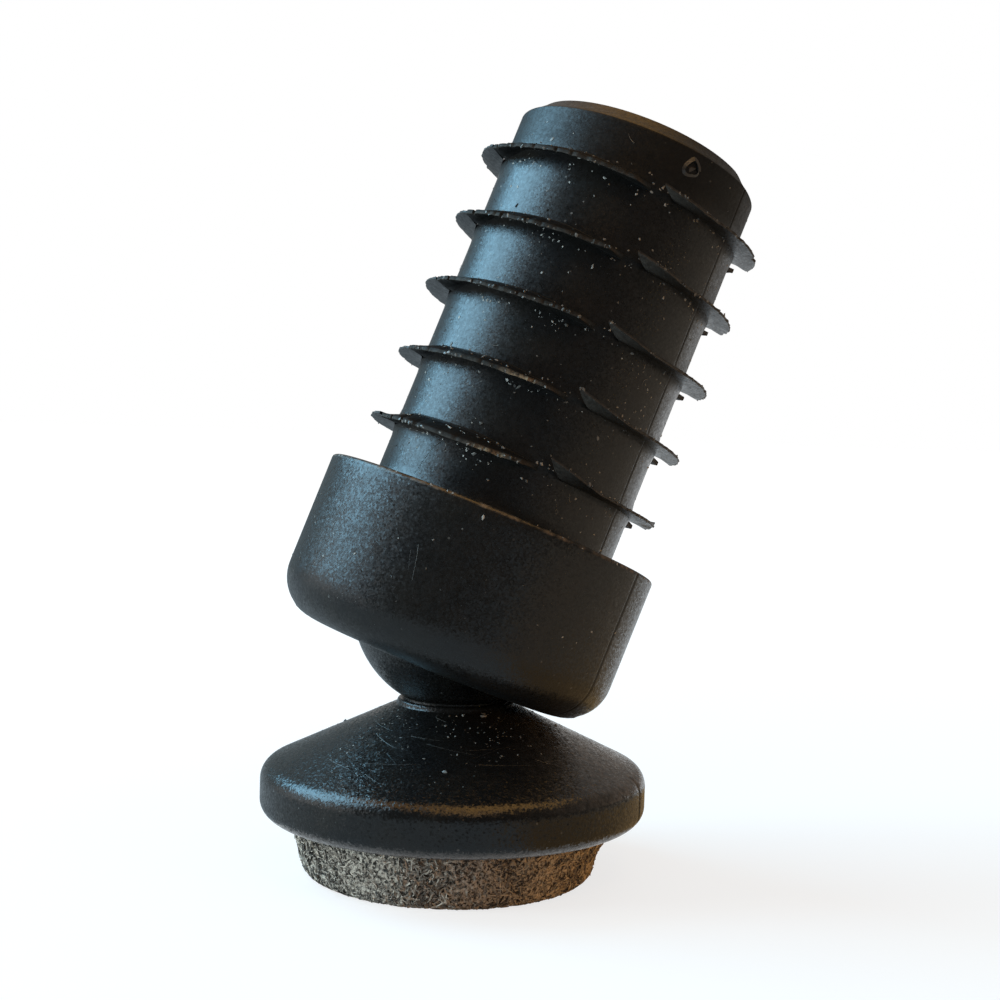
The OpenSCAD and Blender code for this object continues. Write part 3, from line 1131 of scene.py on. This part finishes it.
def base_plastic():
    """Glossier black plastic with a fine grain, and a layer of dust on the cone's right side that also
    paints a sheen there.
    """
    material, n, shader = new_material("base_plastic")
    mm = n.coords()
    colour, rough = plastic_ground(n, mm, BASE_SHINE)
    ragged = n.noise(mm, 2.2, 5, 0.7)
    # Dust on the cone's right, also painting a sheen there, in ragged patches
    film = n.math("MULTIPLY", n.attribute("film"), n.ramp(ragged, 0.35, 0.65, 0.1, 0.85))
    colour = n.mix(film, colour, FILM_AND_SHEEN)
    finish_plastic(n, shader, colour, rough, n.noise(mm, 5.5, 2), n.facets(mm, 7.0, 0.12, 0.6))
    return material


FELT_DARK = (0.035, 0.029, 0.024, 1)
FELT_PALE = (0.46, 0.38, 0.31, 1)
# Brown that paints the warm light falling on the felt's right side
FELT_PAINTED_WARM_LIGHT = (0.57, 0.41, 0.22, 1)
FELT_DEPTH = 0.00015


def felt_material():
    """Needled felt of dark and pale fibres, with warm light painted on its right side as browner fibres."""
    material, n, shader = new_material("needled_felt")
    mm = n.coords()
    tone, fibre = n.attribute("tone"), n.attribute("fibre")
    fleck = n.noise(mm, 4.0, 3, 0.7)
    share = n.mix(fibre, n.ramp(fleck, 0.42, 0.58), n.ramp(tone, 0.1, 0.8))
    across = n.add("SeparateXYZ", {0: mm}).outputs[0]
    # Painted warm light: the pale fibres turn browner towards the right, where the warm lamp falls
    pale = n.mix(n.ramp(across, 2, 11), FELT_PALE, FELT_PAINTED_WARM_LIGHT)
    n.set(shader, {"Roughness": 0.95, "Specular IOR Level": 0.1, "Sheen Weight": 0.1})
    bump = n.add("Bump", {"Strength": 0.8, "Distance": FELT_DEPTH, "Height": n.noise(mm, 7.0, 4, 0.7)})
    n.set(shader, {"Base Color": n.mix(share, FELT_DARK, pale), "Normal": bump.outputs[0]})
    return material


def dress(obj, material, body, node):
    obj.data.materials.append(material)
    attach(obj, body)
    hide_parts(node)


# Stage, in metres: a white floor and surroundings, cards that only reflections see, and lamps
AMBIENT = 0.4
AMBIENT_LEFT = (0.86, 0.98, 1.1, 1)
AMBIENT_RIGHT = (1.05, 0.94, 0.8, 1)
FLOOR_HALF = 4.0
FLOOR_GREY = (0.32, 0.32, 0.32, 1)
# How bright the floor looks near the object and away from it, and those distances in millimetres
FLOOR_GLOW = (0.74, 0.92)
FLOOR_GLOW_FROM = (30, 260)
# Elevations of the cards round the object, in degrees, and their distance
WALL = (0, 58)
CEILING = (58, 89)
CARD_REACH = 0.6
# The floor's right side, how near its cards come and where two of them meet, and their height
RIGHT_SIDE = (30, 134)
CARD_NEAR = 0.016
CARD_SPLIT = 0.045
CARD_LIFT = 0.0008
# What the lamps point at
LIT_MIDDLE = Vector((0.004, 0.002, 0.026))


def seen_directly(n):
    """1 for what the camera, mirrors and glass see, and 0 for the light that falls on things."""
    path = n.add("LightPath").outputs
    mirrored = n.math("MAXIMUM", path["Is Glossy Ray"], path["Is Transmission Ray"])
    return n.math("MAXIMUM", path["Is Camera Ray"], mirrored)


def stage_object(name, points, faces, material):
    mesh = bpy.data.meshes.new(name)
    mesh.from_pydata(points, [], faces)
    mesh.materials.append(material)
    obj = new_object(name, mesh)
    return obj


def floor():
    """A pale floor that looks white away from the object and keeps the shadow under it."""
    corners = [(FLOOR_HALF * x, FLOOR_HALF * y, 0) for x, y in ((-1, -1), (1, -1), (1, 1), (-1, 1))]
    material, n, shader = new_material("floor_white")
    n.set(shader, {"Base Color": FLOOR_GREY, "Roughness": 0.9, "Specular IOR Level": 0.0})
    far = n.add("VectorMath", {0: n.coords()}, operation="LENGTH").outputs["Value"]
    glow = n.math("MULTIPLY", seen_directly(n), n.ramp(far, *FLOOR_GLOW_FROM, *FLOOR_GLOW))
    n.set(shader, {"Emission Color": WHITE, "Emission Strength": glow})
    stage_object("floor", corners, [(0, 1, 2, 3)], material)


def surroundings():
    """White where they are seen, and light that is cooler at the left and warmer at the right."""
    world = bpy.data.worlds.new("studio")
    bpy.context.scene.world = world
    world.use_nodes = True
    n = Nodes(world.node_tree)
    seen = seen_directly(n)
    way = n.add("SeparateXYZ", {0: n.add("TexCoord").outputs["Generated"]}).outputs[0]
    ambient = n.mix(n.ramp(way, -1, 1), AMBIENT_LEFT, AMBIENT_RIGHT)
    looks = {"Color": n.mix(seen, ambient, WHITE), "Strength": n.ramp(seen, 0, 1, AMBIENT, 1.0)}
    n.set(world.node_tree.nodes["Background"], looks)


def card(name, grid, colour, strength):
    """A card over a grid of points, which only reflections see."""
    up, across = len(grid), len(grid[0])
    faces = []
    for i in range(up - 1):
        for j in range(across - 1):
            k = i * across + j
            faces.append((k, k + 1, k + across + 1, k + across))
    material, n, shader = new_material(name)
    n.set(shader, {"Base Color": (0, 0, 0, 1), "Specular IOR Level": 0.0})
    n.set(shader, {"Emission Color": (*colour, 1), "Emission Strength": strength})
    obj = stage_object(name, [p for row in grid for p in row], faces, material)
    obj.visible_camera = False
    obj.visible_diffuse = False
    obj.visible_shadow = False


def bearing(azimuth, elevation, reach):
    """A place round the object, with degrees: azimuth 0 is in front, 90 at the right and -90 at the left."""
    a, e = radians(azimuth), radians(elevation)
    return (reach * sin(a) * cos(e), -reach * cos(a) * cos(e), reach * sin(e))


def flag(name, azimuths, elevations, colour, strength):
    grid = []
    for e in np.linspace(*elevations, 10):
        grid.append([bearing(a, e, CARD_REACH) for a in np.linspace(*azimuths, 24)])
    card(name, grid, colour, strength)


def floor_card(name, azimuths, near, far, colour, strength):
    grid = []
    for r in np.linspace(near, far, 4):
        ring = [bearing(a, 0, r) for a in np.linspace(*azimuths, 32)]
        grid.append([(x, y, CARD_LIFT) for x, y, _ in ring])
    card(name, grid, colour, strength)


def area_light(name, place, size, power, colour, mirrored=True):
    data = bpy.data.lights.new(name, "AREA")
    data.shape = "RECTANGLE"
    data.size, data.size_y = size
    data.energy = power
    data.color = colour
    obj = new_object(name, data)
    obj.location = place
    obj.rotation_euler = (LIT_MIDDLE - Vector(place)).to_track_quat("-Z", "Y").to_euler()
    obj.visible_camera = False
    obj.visible_glossy = mirrored


def lights():
    area_light("window", (-0.281, 0.065, 0.25), (0.30, 0.22), 1.6, (0.33, 0.72, 1.0))
    area_light("sky", (-0.30, -0.05, 0.03), (0.12, 0.05), 1.5, (0.72, 0.92, 1.0), mirrored=False)
    area_light("lamp", (0.06, -0.22, 0.27), (0.08, 0.06), 0.06, (1.0, 0.62, 0.32))
    area_light("glow", (0.28, -0.13, 0.02), (0.10, 0.03), 0.32, (1.0, 0.5, 0.12), mirrored=False)
    flag("front_flag", (-58, 72), WALL, (1.0, 1.0, 1.0), 0.05)
    flag("ceiling_left", (-180, -10), CEILING, (1.0, 0.53, 0.18), 1.2)
    flag("ceiling_right", (-10, 180), CEILING, (1.0, 0.56, 0.18), 2.4)
    flag("right_flag", (72, 132), WALL, (1.0, 0.93, 0.82), 0.17)
    flag("side_flag", (132, 166), WALL, (1.0, 0.96, 0.91), 0.24)
    flag("back_flag", (166, 192), WALL, (1.0, 0.97, 0.93), 0.55)
    flag("left_flag", (-168, -116), WALL, (0.8, 0.95, 1.0), 0.25)
    floor_card("floor_left", (-180, 30), CARD_NEAR, CARD_REACH, (0.82, 1.0, 1.12), 0.44)
    floor_card("floor_right", RIGHT_SIDE, CARD_NEAR, CARD_SPLIT, (1.0, 0.68, 0.34), 0.42)
    floor_card("floor_far", RIGHT_SIDE, CARD_SPLIT, CARD_REACH, (1.0, 0.88, 0.72), 0.46)
    floor_card("floor_back", (134, 180), CARD_NEAR, 0.035, (1.0, 0.7, 0.3), 0.5)


# Camera, as fitted to the photograph, with distances in millimetres
CAMERA_TARGET = (2.81, -0.38, 27.01)
CAMERA_DISTANCE = 112.63
CAMERA_ELEVATION = radians(2.74)
CAMERA_ROLL = radians(1.69)
FOCAL_PIXELS = 1566.6
PICTURE_PIXELS = 1000
SENSOR = 36.0
CLIP_START = 5.0


def camera():
    data = bpy.data.cameras.new("camera")
    data.sensor_width = SENSOR
    data.lens = FOCAL_PIXELS / PICTURE_PIXELS * SENSOR
    data.clip_start = CLIP_START * MM
    obj = new_object("camera", data)
    back = Vector((0, -cos(CAMERA_ELEVATION), sin(CAMERA_ELEVATION)))
    place = (Vector(CAMERA_TARGET) + CAMERA_DISTANCE * back) * MM
    look = (-back).to_track_quat("-Z", "Y").to_matrix().to_4x4()
    obj.matrix_world = Matrix.Translation(place) @ look @ Matrix.Rotation(CAMERA_ROLL, 4, "Z")
    bpy.context.scene.camera = obj


bpy.context.scene.view_settings.view_transform = "Standard"
camera()
floor()
surroundings()
lights()

dress(tube_insert(), insert_plastic(), "insert", "tube_insert")
dress(glide_base(), base_plastic(), "base", "glide_base")
felt = felt_pad()
dress(felt, felt_material(), "base", "felt_pad")
